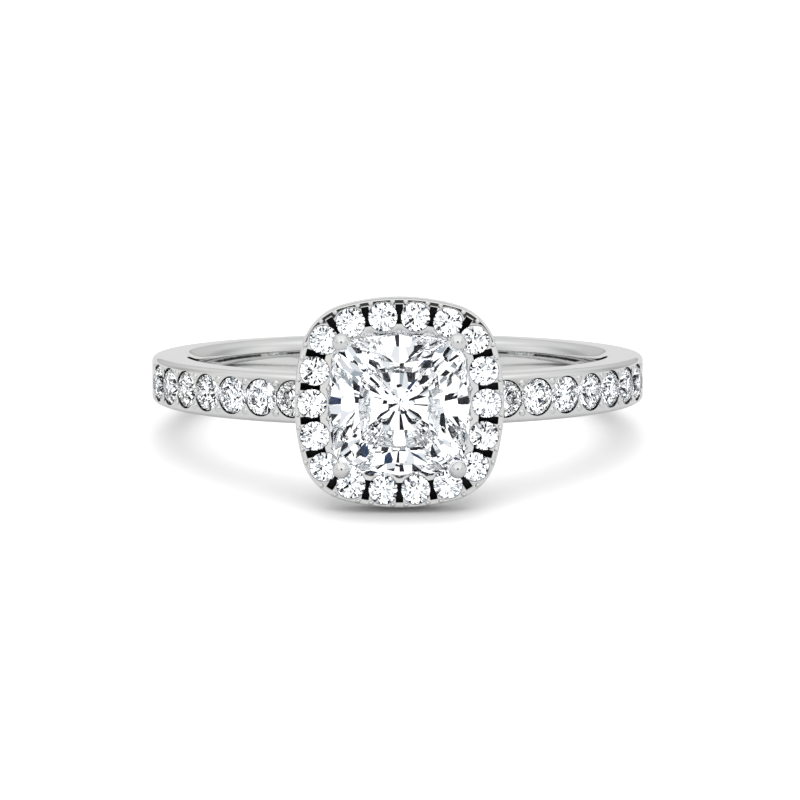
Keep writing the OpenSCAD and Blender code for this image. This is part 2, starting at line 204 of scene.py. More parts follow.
def turned(name, outline, steps=48):
    """Solid of revolution. Its outline of (radius, height) runs from the axis up to the axis."""
    turns = [math.tau * step / steps for step in range(steps)]
    mesh = bmesh.new()
    foot = mesh.verts.new((0, 0, outline[0][1]))
    tip = mesh.verts.new((0, 0, outline[-1][1]))
    rings = []
    for radius, height in outline[1:-1]:
        rings.append([
            mesh.verts.new((radius * math.cos(turn), radius * math.sin(turn), height)) for turn in turns
        ])
    for step in range(steps):
        after = (step + 1) % steps
        mesh.faces.new((foot, rings[0][after], rings[0][step]))
        mesh.faces.new((tip, rings[-1][step], rings[-1][after]))
        for low, high in zip(rings, rings[1:]):
            mesh.faces.new((low[step], low[after], high[after], high[step]))
    bmesh.ops.recalc_face_normals(mesh, faces=mesh.faces)
    solid = bpy.data.meshes.new(name)
    mesh.to_mesh(solid)
    mesh.free()
    return bpy.data.objects.new(name, solid)


# Round brilliants, as shares of their diameter
girdle_share = 0.025
pavilion_share = 0.43


def seat_bur(name, stone_d, foot_r, rim, flare):
    """Cutter for a round stone's seat: cone, straight wall and the flare cut round its rim.

    A foot with a radius goes on down as a drilled hole.
    """
    r = stone_d / 2 + stone_gap
    ledge = girdle_share * stone_d / 2 + stone_gap
    foot = -ledge - (r - foot_r) * 2 * pavilion_share
    outline = [(0, foot)]
    if foot_r > 0:
        outline = [(0, foot - stone_d), (foot_r, foot - stone_d), (foot_r, foot)]
    flare_top = rim + stone_d
    outline += [(r, -ledge), (r, rim), (r + flare * stone_d, flare_top), (0, flare_top)]
    return turned(name, outline)


def effect(name, inputs, outputs):
    """Shader node group for an effect that several finishes share."""
    group = bpy.data.node_groups.new(name, "ShaderNodeTree")
    for label, kind in inputs.items():
        group.interface.new_socket(label, in_out="INPUT", socket_type="NodeSocket" + kind)
    for label, kind in outputs.items():
        group.interface.new_socket(label, in_out="OUTPUT", socket_type="NodeSocket" + kind)
    return group, put(group, "NodeGroupInput").outputs


def in_mm(tree, place, stretch):
    """Place on the ring in mm, stretched or squeezed along each way."""
    per_mm = tuple(share / MM for share in stretch)
    return vectors(tree, "MULTIPLY", place, per_mm)


def noise(tree, place, scale, detail):
    return put(tree, "ShaderNodeTexNoise", {
        "Vector": place, "Scale": scale, "Detail": detail
    }).outputs[0]


def spread(tree, value, low, high, least, most):
    """Carries a value from one span to another."""
    return put(tree, "ShaderNodeMapRange", {0: value, 1: low, 2: high, 3: least, 4: most}).outputs[0]


def mixed(tree, share, one, other, way="MIX"):
    """Colour between two, or one colour tinted by the other."""
    links = {0: share, 6: one, 7: other}
    return put(tree, "ShaderNodeMix", links, data_type="RGBA", blend_type=way).outputs[2]


def polish_marks():
    """Hairlines that the polishing wheel and wear leave: a duller gloss and faint furrows."""
    group, given = effect(
        "polish marks",
        {"Place": "Vector", "Scale": "Float", "Least": "Float", "Most": "Float"},
        {"Roughness": "Float", "Height": "Float"},
    )
    one_way = noise(group, in_mm(group, given["Place"], (0.4, 7.0, 4.0)), given["Scale"], 3.0)
    other_way = noise(group, in_mm(group, given["Place"], (6.0, 0.7, 5.0)), given["Scale"], 2.0)
    lines = work_out(group, "MAXIMUM", one_way, other_way)
    handled = noise(group, in_mm(group, given["Place"], (0.8, 0.8, 0.8)), given["Scale"], 1.0)
    dull = work_out(group, "MULTIPLY", spread(group, lines, 0.5, 0.75, 0.3, 1.0), handled)
    span = work_out(group, "SUBTRACT", given["Most"], given["Least"])
    gloss = work_out(group, "ADD", given["Least"], work_out(group, "MULTIPLY", dull, span))
    put(group, "NodeGroupOutput", {"Roughness": gloss, "Height": lines})
    return group


def colour_drift():
    """Slight drift of a colour over the piece, as in any real metal or stone."""
    group, given = effect(
        "colour drift", {"Place": "Vector", "Colour": "Color", "Other": "Color"}, {"Colour": "Color"}
    )
    clouds = noise(group, in_mm(group, given["Place"], (1, 1, 1)), 0.35, 2.0)
    share = spread(group, clouds, 0.35, 0.65, 0.0, 1.0)
    put(group, "NodeGroupOutput", {"Colour": mixed(group, share, given["Colour"], given["Other"])})
    return group


marks_group = polish_marks()
drift_group = colour_drift()


def surface(name, colour, other):
    """Material whose colour drifts between two; gives its shader and its place on the ring."""
    material = bpy.data.materials.new(name)
    material.use_nodes = True
    tree = material.node_tree
    place = put(tree, "ShaderNodeTexCoord").outputs["Object"]
    drift = put(tree, "ShaderNodeGroup", {
        "Place": place, "Colour": (*colour, 1), "Other": (*other, 1)
    }, node_tree=drift_group)
    shader = tree.nodes["Principled BSDF"]
    tree.links.new(drift.outputs[0], shader.inputs["Base Color"])
    return material, shader, place


marks_per_mm = 1.4


def gold(name, colour, other, smoothest, roughest, furrow):
    """White gold, with the wheel's marks in its gloss and furrows of the given depth in mm."""
    material, shader, place = surface(name, colour, other)
    tree = material.node_tree
    marks = put(tree, "ShaderNodeGroup", {
        "Place": place, "Scale": marks_per_mm, "Least": smoothest, "Most": roughest
    }, node_tree=marks_group).outputs
    tree.links.new(marks["Roughness"], shader.inputs["Roughness"])
    furrows = put(tree, "ShaderNodeBump", {"Height": marks["Height"], "Distance": furrow * MM})
    tree.links.new(furrows.outputs[0], shader.inputs["Normal"])
    shader.inputs["Metallic"].default_value = 1
    return material


white_gold = gold(
    "polished_white_gold", WHITE_GOLD, OLDER_GOLD, smoothest=0.03, roughest=0.1, furrow=0.0005
)
cut_gold = gold("bright_cut_gold", CUT_GOLD, OLDER_GOLD, smoothest=0.12, roughest=0.3, furrow=0.004)
seat_gold = gold(
    "shoulder_seat_gold", WHITE_GOLD, OLDER_GOLD, smoothest=0.05, roughest=0.14, furrow=0.002
)
recess_shade_gold = gold(
    "unpolished_recess_painted_shade", RECESS_PAINTED_SHADE, RECESS_SHADE_DRIFT, smoothest=0.35, roughest=0.6, furrow=0.01
)
rim_depth = 0.16
rim_fade = 0.04


def shade_under_rim(material, depth):
    """Paints shade on the metal from the band's outside down to a depth in mm, under the seats' rims.
    """
    tree = material.node_tree
    shader = tree.nodes["Principled BSDF"]
    place = put(tree, "ShaderNodeTexCoord").outputs["Object"]
    middle = LAID_DOWN @ Vector((0, -band_shift, 0))
    from_middle = vectors(tree, "SUBTRACT", place, middle)
    reach = length(tree, vectors(tree, "CROSS_PRODUCT", from_middle, finger_hole["axis"]))
    dark_from = band_r - depth
    share = spread(tree, reach, (dark_from - rim_fade) * MM, dark_from * MM, 0.0, 1.0)
    unshaded = shader.inputs["Base Color"].links[0].from_socket
    tree.links.new(mixed(tree, share, unshaded, (*PAINTED_RIM_SHADE, 1)), shader.inputs["Base Color"])


# The seats and the groove get a painted shade just under the band's outside
shade_under_rim(seat_gold, rim_depth)

shoulder = {
    "Stones": 7,
    "Start": math.radians(25.0),
    "Pitch": math.radians(8.43),
    "Side": 1.0,
    "Radius": band_r,
    "Across": 0.0,
    "Shift": band_shift,
}
shoulder_stone_d = 1.42
# Below the band's outside: the tops of the girdles, and the start of the flare round each seat
shoulder_sink = 0.1
seat_bevel = 0.02


def shoulder_row():
    """What lies in a row on a shoulder: places along the band, each facing outward."""
    row, given = new_tree("shoulder row", shoulder)
    row.interface.new_socket("Part", in_out="INPUT", socket_type="NodeSocketGeometry")
    index = put(row, "GeometryNodeInputIndex").outputs[0]
    turn = work_out(row, "ADD", given["Start"], work_out(row, "MULTIPLY", index, given["Pitch"]))
    turn = work_out(row, "MULTIPLY", turn, given["Side"])
    sine = work_out(row, "SINE", turn)
    cosine = work_out(row, "MULTIPLY", work_out(row, "COSINE", turn), -1.0)
    outward = vector_of(row, sine, cosine)
    along = vector_of(row, work_out(row, "COSINE", turn), sine)
    y = work_out(row, "SUBTRACT", work_out(row, "MULTIPLY", cosine, given["Radius"]), given["Shift"])
    place = vector_of(row, work_out(row, "MULTIPLY", sine, given["Radius"]), y, given["Across"])
    marks = put(row, "GeometryNodeMeshLine", {"Count": given["Stones"]}).outputs[0]
    marks = put(row, "GeometryNodeSetPosition", {0: marks, "Position": place}).outputs[0]
    facing = put(row, "FunctionNodeAxesToRotation", {
        0: outward, 1: along
    }, primary_axis="Z", secondary_axis="X").outputs[0]
    parts = put(row, "GeometryNodeInstanceOnPoints", {
        "Points": marks, "Instance": given["Part"], "Rotation": facing
    }).outputs[0]
    put(row, "NodeGroupOutput", {0: parts})
    return row


def set_out(tree, row, part, sizes):
    """Places a part all along a row."""
    return put(tree, "GeometryNodeGroup", dict(sizes, Part=part), node_tree=row).outputs[0]


# The head faces -Y, with its own X to the right and Y up
HEAD_TURN = Matrix.Rotation(math.pi / 2, 4, "X")
HEAD = LAID_DOWN @ HEAD_TURN
halo_dip = 0.45
halo_h = 1.25
halo_bottom = band_top - halo_dip
halo_top = halo_bottom + halo_h
centre_w = 5.57
centre_side_r = 8.0
centre_corner_r = 1.15
centre_lift = 0.65
centre_z = halo_top + centre_lift
centre_girdle = 0.12
centre_crown = 0.75
centre_pavilion = 2.7
table_share = 0.6
# Depth and width, as shares, of the upper end of each tier of pavilion facets
pavilion_tiers = [(0.68, 0.36), (0.42, 0.64), (0.2, 0.85), (0, 1)]


def cushion_point(turn, half, side_r, corner_r):
    """Point of a cushion outline where it faces the given way: bulging sides, round corners."""
    side_middle = half - side_r
    corner_middle = (side_middle + math.sqrt(2 * (side_r - corner_r) ** 2 - side_middle ** 2)) / 2
    split = math.atan2(corner_middle, corner_middle - side_middle)
    quarter = round(turn / (math.pi / 2)) * math.pi / 2
    lean = turn - quarter
    if abs(lean) <= split:
        x, y, r = side_middle, 0, side_r
    else:
        x, y, r = corner_middle, math.copysign(corner_middle, lean), corner_r
    point = Vector((x + r * math.cos(lean), y + r * math.sin(lean), 0))
    return Matrix.Rotation(quarter, 3, "Z") @ point


def centre_bur(name, turn):
    """Cutter for the centre stone's seat, turned to the reach of the stone's corners."""
    corner = cushion_point(math.pi / 4, centre_w / 2, centre_side_r, centre_corner_r).length
    low = centre_z - centre_girdle / 2 - stone_gap
    high = centre_z + centre_girdle / 2 + stone_gap
    outline = [(0, low - centre_pavilion)]
    for depth, share in pavilion_tiers:
        outline.append((share * corner + stone_gap, low - depth * centre_pavilion))
    table_r = table_share * corner + stone_gap
    above = high + centre_w
    outline += [(corner + stone_gap, high), (table_r, high + centre_crown), (table_r, above)]
    bur = turned(name, outline + [(0, above)], steps=96)
    bur.data.transform(turn)
    return bur


shank_sizes = {
    "Hole radius": hole_r,
    "Wall": band_wall,
    "Shift": band_shift,
    "Head width": head_w,
    "Back width": back_w,
    "Outer edge": band_edge_r,
    "Inner edge": comfort_r,
    "Groove width": 0.6,
    "Groove depth": 0.28,
    "Bur": seat_bur("shoulder_bur", shoulder_stone_d, 0.0, shoulder_sink - seat_bevel, 1.0),
    "Centre bur": centre_bur("centre_bur_from_front", HEAD_TURN),
    "Gold": white_gold,
    "Cut": cut_gold,
    "Seat": seat_gold,
}


def shank_tree(row):
    tree, given = new_tree("shank", shank_sizes)
    hole = given["Hole radius"]
    shift = given["Shift"]
    # Rounded section, swept round the finger hole
    outline = bar_section(tree, given["Wall"], given["Head width"])
    where = put(tree, "GeometryNodeInputPosition").outputs[0]
    side = put(tree, "ShaderNodeSeparateXYZ", {0: where}).outputs["X"]
    outside = compared(tree, "GREATER_THAN", side, 0.0)
    edge = put(tree, "GeometryNodeSwitch", {
        "Switch": outside, "False": given["Inner edge"], "True": given["Outer edge"]
    }, input_type="FLOAT").outputs[0]
    outline = put(tree, "GeometryNodeFilletCurve", {
        "Curve": outline, "Radius": edge, "Limit Radius": True, "Count": 9
    }, mode="POLY").outputs[0]
    half_wall = work_out(tree, "DIVIDE", given["Wall"], 2.0)
    middle = work_out(tree, "ADD", hole, half_wall)
    path = put(tree, "GeometryNodeCurvePrimitiveCircle", {
        "Resolution": 300, "Radius": middle
    }).outputs[0]
    hoop = put(tree, "GeometryNodeCurveToMesh", {"Curve": path, "Profile Curve": outline}).outputs[0]
    # The outside circle shifts toward the head, and the sides close in toward the back
    place = put(tree, "ShaderNodeSeparateXYZ", {0: where}).outputs
    reach = length(tree, vector_of(tree, place["X"], place["Y"]))
    toward_head = work_out(tree, "DIVIDE", work_out(tree, "MULTIPLY", place["Y"], -1.0), reach)
    outer_r = work_out(tree, "ADD", hole, given["Wall"])
    shift_along = work_out(tree, "MULTIPLY", shift, toward_head)
    minus_sideways = work_out(tree, "SUBTRACT", squared(tree, shift_along), squared(tree, shift))
    chord = work_out(tree, "SQRT", work_out(tree, "ADD", squared(tree, outer_r), minus_sideways))
    wall = work_out(tree, "SUBTRACT", work_out(tree, "ADD", chord, shift_along), hole)
    share = work_out(tree, "DIVIDE", work_out(tree, "SUBTRACT", reach, hole), given["Wall"])
    new_reach = work_out(tree, "ADD", hole, work_out(tree, "MULTIPLY", share, wall))
    grow = work_out(tree, "DIVIDE", new_reach, reach)
    top = work_out(tree, "ADD", outer_r, shift)
    whole = work_out(tree, "ADD", top, outer_r)
    back = work_out(tree, "DIVIDE", work_out(tree, "ADD", place["Y"], top), whole)
    back_share = work_out(tree, "DIVIDE", given["Back width"], given["Head width"])
    narrow = work_out(tree, "MULTIPLY", work_out(tree, "SUBTRACT", back_share, 1.0), back)
    narrow = work_out(tree, "ADD", 1.0, narrow)
    placed = vector_of(
        tree,
        work_out(tree, "MULTIPLY", place["X"], grow),
        work_out(tree, "MULTIPLY", place["Y"], grow),
        work_out(tree, "MULTIPLY", place["Z"], narrow),
    )
    hoop = put(tree, "GeometryNodeSetPosition", {0: hoop, "Position": placed}).outputs[0]
    hoop = coloured(tree, hoop, given["Gold"])
    # Seats in both shoulders, and the groove that joins them
    bur = shape_of(tree, given["Bur"])
    depth = work_out(tree, "SUBTRACT", outer_r, given["Groove depth"])
    groove_middle = work_out(tree, "ADD", depth, given["Wall"])
    double_wall = work_out(tree, "MULTIPLY", given["Wall"], 2.0)
    blade = bar_section(tree, double_wall, given["Groove width"])
    lower = vector_of(tree, y=work_out(tree, "MULTIPLY", shift, -1.0))
    run = (shoulder["Stones"] - 1) * shoulder["Pitch"]
    tools = [(shape_of(tree, given["Centre bur"]), given["Cut"])]
    for side in (-1.0, 1.0):
        on_side = dict(shoulder, Side=side, Radius=band_r - shoulder_sink)
        seats = set_out(tree, row, bur, on_side)
        start = -math.pi / 2 + side * shoulder["Start"]
        arc = put(tree, "GeometryNodeCurveArc", {
            "Resolution": 80, "Radius": groove_middle, "Start Angle": start, "Sweep Angle": side * run
        }).outputs[0]
        groove = put(tree, "GeometryNodeCurveToMesh", {
            "Curve": arc, "Profile Curve": blade, "Fill Caps": True
        }).outputs[0]
        groove = moved(tree, groove, lower)
        # Seats and groove take the seat gold, with its painted shade under the rim
        tools += [(seats, given["Seat"]), (groove, given["Seat"])]
    put(tree, "NodeGroupOutput", {0: polished(tree, cut_with(tree, hoop, tools))})
    return tree


row_on_shoulder = shoulder_row()
shank = made("shank", shank_tree(row_on_shoulder), shank_sizes, LAID_DOWN)
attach(shank, "root")
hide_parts("mounting")


def joined(piece):
    """Soldered to the rest of the mounting, all of it one piece of white gold."""
    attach(piece, "root")
    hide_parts("mounting")


# Halo frame: a flat cushion-shaped rail round the centre stone, with a drilled seat for each of
# its stones and a saw cut between neighbours. It is soldered on top of the basket.
halo_line_out = 0.655
halo_half = centre_w / 2 + halo_line_out
halo_side_r = 7.5
halo_corner_r = 1.55


def closed_line(name, points):
    """A path for the trees, which isn't shown itself."""
    line = bpy.data.curves.new(name, "CURVE")
    line.dimensions = "3D"
    spline = line.splines.new("POLY")
    spline.points.add(len(points) - 1)
    for place, point in zip(spline.points, points):
        place.co = (*point, 1)
    spline.use_cyclic_u = True
    return bpy.data.objects.new(name, line)


path_steps = 240
halo_points = [
    cushion_point(math.pi / 2 + math.tau * step / path_steps, halo_half, halo_side_r, halo_corner_r)
    for step in range(path_steps)
]
halo_line = closed_line("halo_line", halo_points)
halo_length = sum((b - a).length for a, b in zip(halo_points, halo_points[1:] + halo_points[:1]))
halo_stones = 18
halo_pitch = halo_length / halo_stones
halo_stones_apart = 0.137
halo_outer_wall = 0.085
halo_inner_wall = 0.28
halo_stone_d = halo_pitch - halo_stones_apart
halo_seat_r = halo_stone_d / 2 + stone_gap

# First is the first place along the line, as a share of the pitch past the middle of its top
halo = {
    "Line": halo_line,
    "Stones": halo_stones,
    "Pitch": halo_pitch,
    "First": 0.5,
    "Out": 0.0,
    "Height": halo_top - girdle_share * halo_stone_d,
}


def halo_row():
    """What lies in a row round the halo: places along its line, each facing the viewer."""
    row, given = new_tree("halo row", halo)
    row.interface.new_socket("Part", in_out="INPUT", socket_type="NodeSocketGeometry")
    line = shape_of(row, given["Line"])
    line = put(row, "GeometryNodeSetCurveNormal", {0: line}, mode="Z_UP").outputs[0]
    index = put(row, "GeometryNodeInputIndex").outputs[0]
    along = work_out(row, "MULTIPLY", work_out(row, "ADD", index, given["First"]), given["Pitch"])
    spot = put(row, "GeometryNodeSampleCurve", {"Curves": line, "Length": along}, mode="LENGTH").outputs
    out = vector_of(row, given["Out"], given["Out"], given["Out"])
    aside = vectors(row, "MULTIPLY", spot["Normal"], out)
    lift = vector_of(row, z=given["Height"])
    place = vectors(row, "ADD", vectors(row, "ADD", spot["Position"], aside), lift)
    marks = put(row, "GeometryNodeMeshLine", {"Count": given["Stones"]}).outputs[0]
    marks = put(row, "GeometryNodeSetPosition", {0: marks, "Position": place}).outputs[0]
    facing = put(row, "FunctionNodeAxesToRotation", {
        0: vector_of(row, z=1.0), 1: spot["Normal"]
    }, primary_axis="Z", secondary_axis="X").outputs[0]
    parts = put(row, "GeometryNodeInstanceOnPoints", {
        "Points": marks, "Instance": given["Part"], "Rotation": facing
    }).outputs[0]
    put(row, "NodeGroupOutput", {0: parts})
    return row


# How far each saw cut reaches out and in from the stones' own line
halo_cut_out = 0.8 * halo_seat_r
halo_cut_in = 0.5 * halo_seat_r
halo_hole_r = 0.47 * halo_stone_d / 2
halo_frame_sizes = {
    "Line": halo_line,
    "Outside": halo_seat_r + halo_outer_wall,
    "Inside": halo_seat_r + halo_inner_wall,
    "Bottom": halo_bottom,
    "Height": halo_h,
    "Edge": 0.05,
    "Cut length": halo_cut_out + halo_cut_in,
    "Cut width": 0.3,
    "Cut depth": 0.55,
    "Bur": seat_bur("halo_bur", halo_stone_d, halo_hole_r, 0.0, 0.0),
    "Gold": white_gold,
    "Cut": cut_gold,
    "Recess": recess_shade_gold,
}


def halo_frame_tree(row):
    tree, given = new_tree("halo frame", halo_frame_sizes)
    line = shape_of(tree, given["Line"])
    line = put(tree, "GeometryNodeSetCurveNormal", {0: line}, mode="Z_UP").outputs[0]
    width = work_out(tree, "ADD", given["Outside"], given["Inside"])
    aside = work_out(tree, "DIVIDE", work_out(tree, "SUBTRACT", given["Outside"], given["Inside"]), 2.0)
    middle = work_out(tree, "ADD", given["Bottom"], work_out(tree, "DIVIDE", given["Height"], 2.0))
    section = put(tree, "GeometryNodeFilletCurve", {
        "Curve": bar_section(tree, width, given["Height"]),
        "Radius": given["Edge"], "Limit Radius": True, "Count": 4,
    }, mode="POLY").outputs[0]
    down = work_out(tree, "MULTIPLY", middle, -1.0)
    section = moved(tree, section, vector_of(tree, aside, down))
    rail = put(tree, "GeometryNodeCurveToMesh", {"Curve": line, "Profile Curve": section}).outputs[0]
    rail = coloured(tree, rail, given["Gold"])
    # Saw cuts between the stones, each with a blade that reaches as far above the rail as into it
    top = work_out(tree, "ADD", given["Bottom"], given["Height"])
    blade_h = work_out(tree, "MULTIPLY", given["Cut depth"], 2.0)
    blade = put(tree, "GeometryNodeMeshCube", {
        "Size": vector_of(tree, given["Cut length"], given["Cut width"], blade_h)
    }).outputs[0]
    cut_middle = (halo_cut_out - halo_cut_in) / 2
    cuts = set_out(tree, row, blade, dict(halo, First=0.0, Out=cut_middle, Height=top))
    seats = set_out(tree, row, shape_of(tree, given["Bur"]), halo)
    # The saw cuts' faces are painted near-black, a painted shade of the deep cuts
    drilled = cut_with(tree, rail, [(cuts, given["Recess"]), (seats, given["Cut"])])
    put(tree, "NodeGroupOutput", {0: polished(tree, drilled)})
    return tree


row_round_halo = halo_row()
halo_frame = made("halo_frame", halo_frame_tree(row_round_halo), halo_frame_sizes, HEAD)
joined(halo_frame)

# Basket: four prong wires that lean outward as they rise, each melted to a ball that holds a
# corner of the centre stone, and a gallery wire bent round them and soldered under the halo.
prong_x = centre_w / 2 - 0.505
prong_y = centre_w / 2 - 0.285
prong_wire_r = 0.27
prong_ball_r = 0.37
prong_lean = 0.21
tip_above_girdle = 0.3
tip_z = centre_z + tip_above_girdle
gallery_d = 0.5
gallery_z = halo_bottom - 0.1 * gallery_d
wire_foot_z = gallery_z - gallery_d / 2


def wire_at(z):
    """Place of the prong wire in the first corner at a height of the head."""
    inward = (tip_z - z) * prong_lean
    return Vector((prong_x - inward, prong_y - inward * prong_y / prong_x, z))


prong_run = wire_at(tip_z) - wire_at(wire_foot_z)


def prong_wire(wire_r, ball_r, ball_steps=12):
    """One prong, from its foot up to its ball."""
    neck = math.acos(wire_r / ball_r)
    outline = [(0, 0), (wire_r, 0), (wire_r, prong_run.length - ball_r * math.sin(neck))]
    for step in range(1, ball_steps):
        turn = -neck + (math.pi / 2 + neck) * step / ball_steps
        outline.append((ball_r * math.cos(turn), prong_run.length + ball_r * math.sin(turn)))
    return turned("prong", outline + [(0, prong_run.length + ball_r)], steps=32)


basket_sizes = {
    "Foot X": wire_at(wire_foot_z).x,
    "Foot Y": wire_at(wire_foot_z).y,
    "Foot Z": wire_foot_z,
    "Tip X": prong_x,
    "Tip Y": prong_y,
    "Tip Z": tip_z,
    "Gallery X": wire_at(gallery_z).x,
    "Gallery Y": wire_at(gallery_z).y,
    "Gallery Z": gallery_z,
    "Gallery wire": gallery_d,
    "Prong": prong_wire(prong_wire_r, prong_ball_r),
    "Centre bur": centre_bur("centre_bur", Matrix()),
    "Gold": white_gold,
}


def basket_tree():
    tree, given = new_tree("basket", basket_sizes)
    index = put(tree, "GeometryNodeInputIndex").outputs[0]
    # The four corners, from the prong's number: right or left by odd and even, then up or down
    column = work_out(tree, "MODULO", index, 2.0)
    row = work_out(tree, "FLOOR", work_out(tree, "DIVIDE", index, 2.0))
    right = work_out(tree, "SUBTRACT", 1.0, work_out(tree, "MULTIPLY", column, 2.0))
    up = work_out(tree, "SUBTRACT", 1.0, work_out(tree, "MULTIPLY", row, 2.0))
    foot, tip = [
        vector_of(
            tree,
            work_out(tree, "MULTIPLY", right, given[end + " X"]),
            work_out(tree, "MULTIPLY", up, given[end + " Y"]),
            given[end + " Z"],
        )
        for end in ("Foot", "Tip")
    ]
    run = vectors(tree, "SUBTRACT", tip, foot)
    facing = put(tree, "FunctionNodeAlignRotationToVector", {"Vector": run}, axis="Z").outputs[0]
    feet = put(tree, "GeometryNodeMeshLine", {"Count": 4}).outputs[0]
    feet = put(tree, "GeometryNodeSetPosition", {0: feet, "Position": foot}).outputs[0]
    prong = shape_of(tree, given["Prong"])
    prongs = put(tree, "GeometryNodeInstanceOnPoints", {
        "Points": feet, "Instance": prong, "Rotation": facing
    }).outputs[0]
    width = work_out(tree, "MULTIPLY", given["Gallery X"], 2.0)
    height = work_out(tree, "MULTIPLY", given["Gallery Y"], 2.0)
    bend = put(tree, "GeometryNodeFilletCurve", {
        "Curve": bar_section(tree, width, height), "Radius": given["Gallery wire"], "Count": 6
    }, mode="POLY").outputs[0]
    lift = vector_of(tree, z=given["Gallery Z"])
    bend = moved(tree, bend, lift)
    wire_r = work_out(tree, "DIVIDE", given["Gallery wire"], 2.0)
    section = put(tree, "GeometryNodeCurvePrimitiveCircle", {
        "Resolution": 24, "Radius": wire_r
    }).outputs[0]
    gallery = put(tree, "GeometryNodeCurveToMesh", {"Curve": bend, "Profile Curve": section}).outputs[0]
    welded = put(tree, "GeometryNodeMeshBoolean", operation="UNION", solver="MANIFOLD")
    for part in (prongs, gallery):
        tree.links.new(part, welded.inputs["Mesh 2"])
    notched = put(tree, "GeometryNodeMeshBoolean", {
        "Mesh 1": welded.outputs[0], "Mesh 2": shape_of(tree, given["Centre bur"])
    }, operation="DIFFERENCE", solver="MANIFOLD").outputs[0]
    put(tree, "NodeGroupOutput", {0: polished(tree, coloured(tree, notched, given["Gold"]))})
    return tree


basket = made("basket", basket_tree(), basket_sizes, HEAD)
joined(basket)

# Halo beads: grains of the halo's own metal, raised beside the saw cuts and pushed over the
# stones' edges with a beading tool. Between two stones there are two outside and one inside.
outer_bead_r = 0.1
inner_bead_r = 0.11
outer_bead_line = 0.96 * halo_seat_r
inner_bead_line = 1.06 * halo_seat_r
bead_off_cut = 0.24
beside_cut = bead_off_cut / halo_pitch


def bead_rows(rows):
    """Round grains in rows; each row is (row tree, its sizes, grain radius)."""
    tree, given = new_tree("grains", {"Gold": white_gold})
    together = put(tree, "GeometryNodeJoinGeometry")
    for row, sizes, radius in rows:
        grain = put(tree, "GeometryNodeMeshIcoSphere", {"Radius": radius, "Subdivisions": 3}).outputs[0]
        tree.links.new(set_out(tree, row, grain, sizes), together.inputs[0])
    real = put(tree, "GeometryNodeRealizeInstances", {0: together.outputs[0]}).outputs[0]
    grains = smooth(tree, coloured(tree, real, given["Gold"]), True, "FACE")
    put(tree, "NodeGroupOutput", {0: grains})
    return tree


outer_beads = dict(halo, Out=outer_bead_line, Height=halo_top)
inner_beads = dict(halo, Out=-inner_bead_line, Height=halo_top, First=0.0)
halo_bead_rows = [
    (row_round_halo, dict(outer_beads, First=beside_cut), outer_bead_r),
    (row_round_halo, dict(outer_beads, First=1.0 - beside_cut), outer_bead_r),
    (row_round_halo, inner_beads, inner_bead_r),
]
halo_beads = made("halo_beads", bead_rows(halo_bead_rows), {"Gold": white_gold}, HEAD)
joined(halo_beads)

# Shoulder beads: larger grains of the band's own metal, two at each end of the rows and two
# between neighbours. Each is raised with a graver and holds the stones on both sides of it.
shoulder_bead_r = 0.17
shoulder_bead_sink = 0.095
shoulder_bead_line = 0.79 * (shoulder_stone_d / 2 + stone_gap)
between_stones = dict(
    shoulder,
    Stones=shoulder["Stones"] + 1,
    Start=shoulder["Start"] - shoulder["Pitch"] / 2,
    Radius=band_r - shoulder_bead_sink,
)
shoulder_bead_rows = [
    (row_on_shoulder, dict(between_stones, Side=side, Across=across), shoulder_bead_r)
    for side in (-1.0, 1.0)
    for across in (-shoulder_bead_line, shoulder_bead_line)
]
grains_on_shoulders = bead_rows(shoulder_bead_rows)
shoulder_beads = made("shoulder_beads", grains_on_shoulders, {"Gold": white_gold}, LAID_DOWN)
joined(shoulder_beads)

# Stones: cut and polished diamonds, a cushion cut in the prongs and round brilliants in the halo
# and the shoulders. They stay as the CAD model has them, set in their seats last of all, and only
# get their material here.
CLEAR = (1.0, 1.0, 1.0)
FAINT_BLUE = (0.95, 0.975, 1.0)
diamond, shader, _ = surface("cut_diamond", CLEAR, FAINT_BLUE)
shader.inputs["Roughness"].default_value = 0.0
shader.inputs["IOR"].default_value = 2.42
shader.inputs["Transmission Weight"].default_value = 1.0
shader.inputs["Specular Tint"].default_value = (0.1, 0.1, 0.1, 1)
for name, node in frame["nodes"].items():
    if name != "mounting":
        for stone_slot in node.material_slots:
            stone_slot.material = diamond

# Photo table: a sheet of pale paper that the ring lies on. Seen in the metal its colour is painted
# a shade darker, a painted reflection. Where the metal mirrors itself, as inside the finger hole,
# the paper beyond a small sheet is painted near-black, a painted dark reflection. In the stones a
# painted pattern of strips shows on it.
PAPER = (0.935, 0.935, 0.935)
PAPER_CLOUDS = (0.93, 0.93, 0.932)
BLACK_STRIP = (0.002, 0.003, 0.006)
NAVY_STRIP = (0.012, 0.025, 0.06)
STEEL_STRIP = (0.25, 0.28, 0.31)
SILVER_STRIP = (0.5, 0.52, 0.54)
WHITE_STRIP = (1, 1, 1)
# How far up the range from 0 to 1 each kind of strip starts
STRIPS = [
    (0.0, BLACK_STRIP),
    (0.26, NAVY_STRIP),
    (0.29, STEEL_STRIP),
    (0.34, SILVER_STRIP),
    (0.46, WHITE_STRIP),
]

floor_z = cad_box[0][2]
bpy.ops.mesh.primitive_plane_add(size=2, location=(0, 0, floor_z))
floor = bpy.context.object
floor.name = "floor"
paper, shader, place = surface("pale_paper", PAPER, PAPER_CLOUDS)
shader.inputs["Roughness"].default_value = 0.9
shader.inputs["Specular IOR Level"].default_value = 0.0


def grey(level):
    return (level, level, level)


